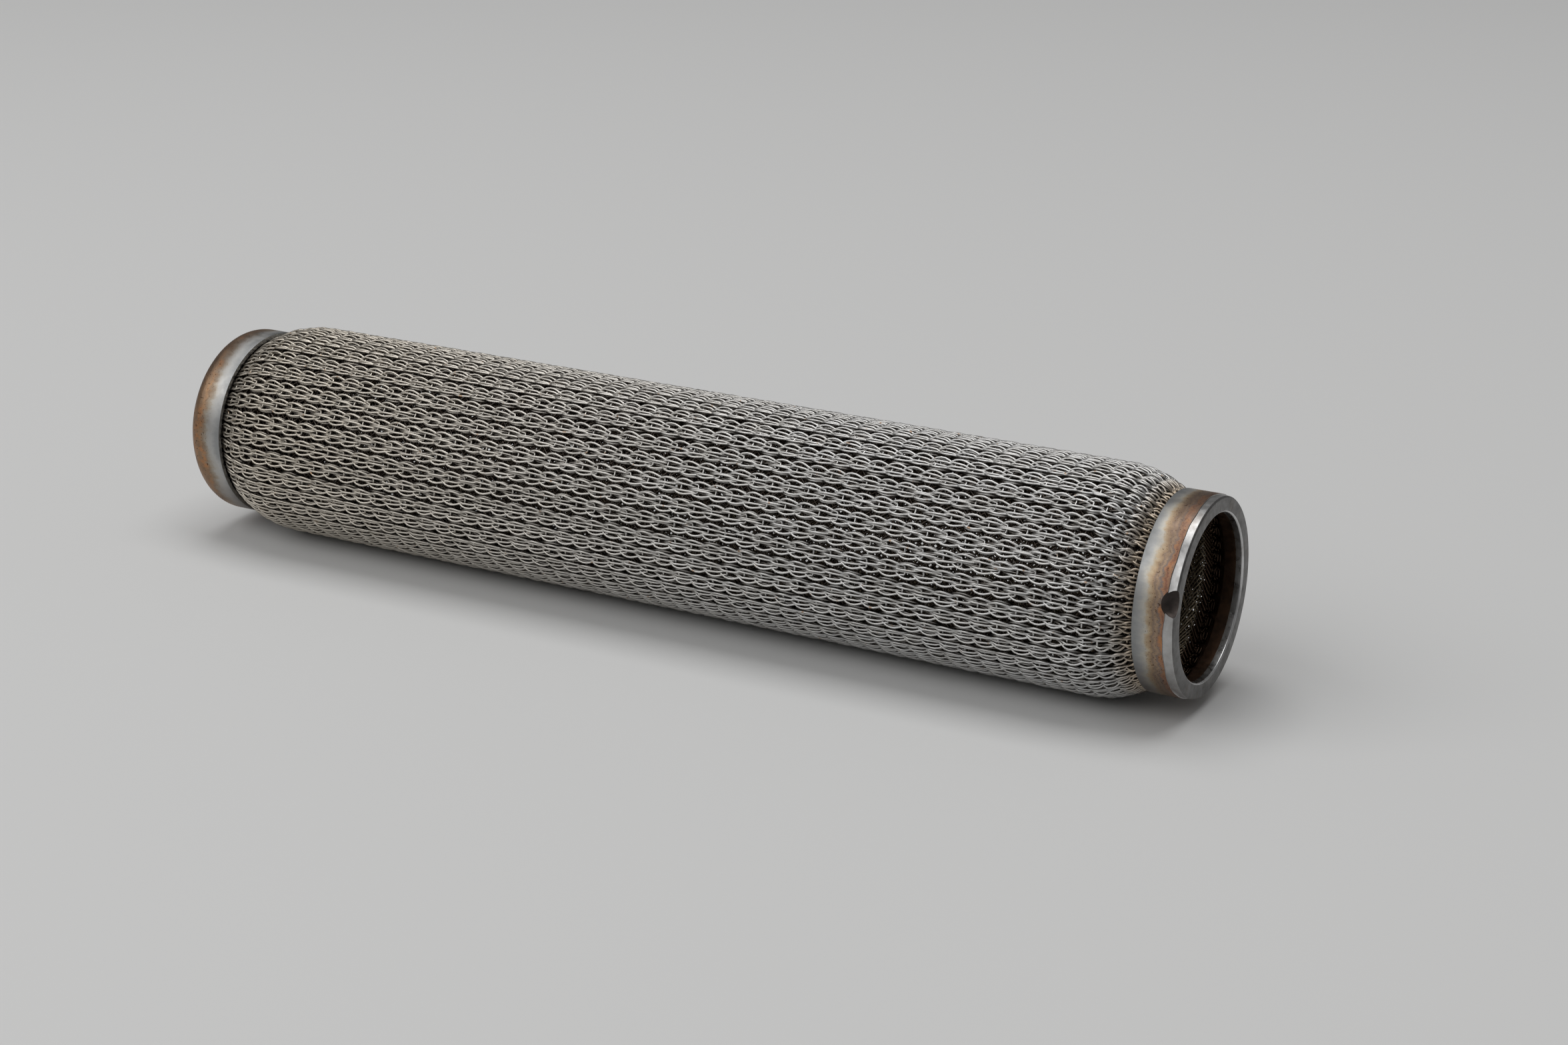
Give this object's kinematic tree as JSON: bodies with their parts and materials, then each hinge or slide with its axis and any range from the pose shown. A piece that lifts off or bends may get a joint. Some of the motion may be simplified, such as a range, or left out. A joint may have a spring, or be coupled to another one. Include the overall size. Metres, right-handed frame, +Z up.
{
  "type": "knitted wire filter element",
  "caption": "Tubular filter element of knitted stainless wire, open at a turned steel collar and closed by a cup-shaped cap at the other end.",
  "frame": {"origin": "on the surface that the element lies on, under the middle of its length", "axes": "+X along the tube, out of the open mouth; +Z up"},
  "size_m": [0.1962, 0.0388, 0.0384],
  "materials": {
    "knit_wire": "drawn wire, satin, faint straw tint",
    "collar_steel": "satin with weld heat tint, bright turned front",
    "cap_steel": "satin with weld heat tint and rust specks"
  },
  "bodies": {
    "root": {"knit_sleeve": "knit_wire", "front_collar": "collar_steel", "end_cap": "cap_steel"}
  },
  "joints": []
}
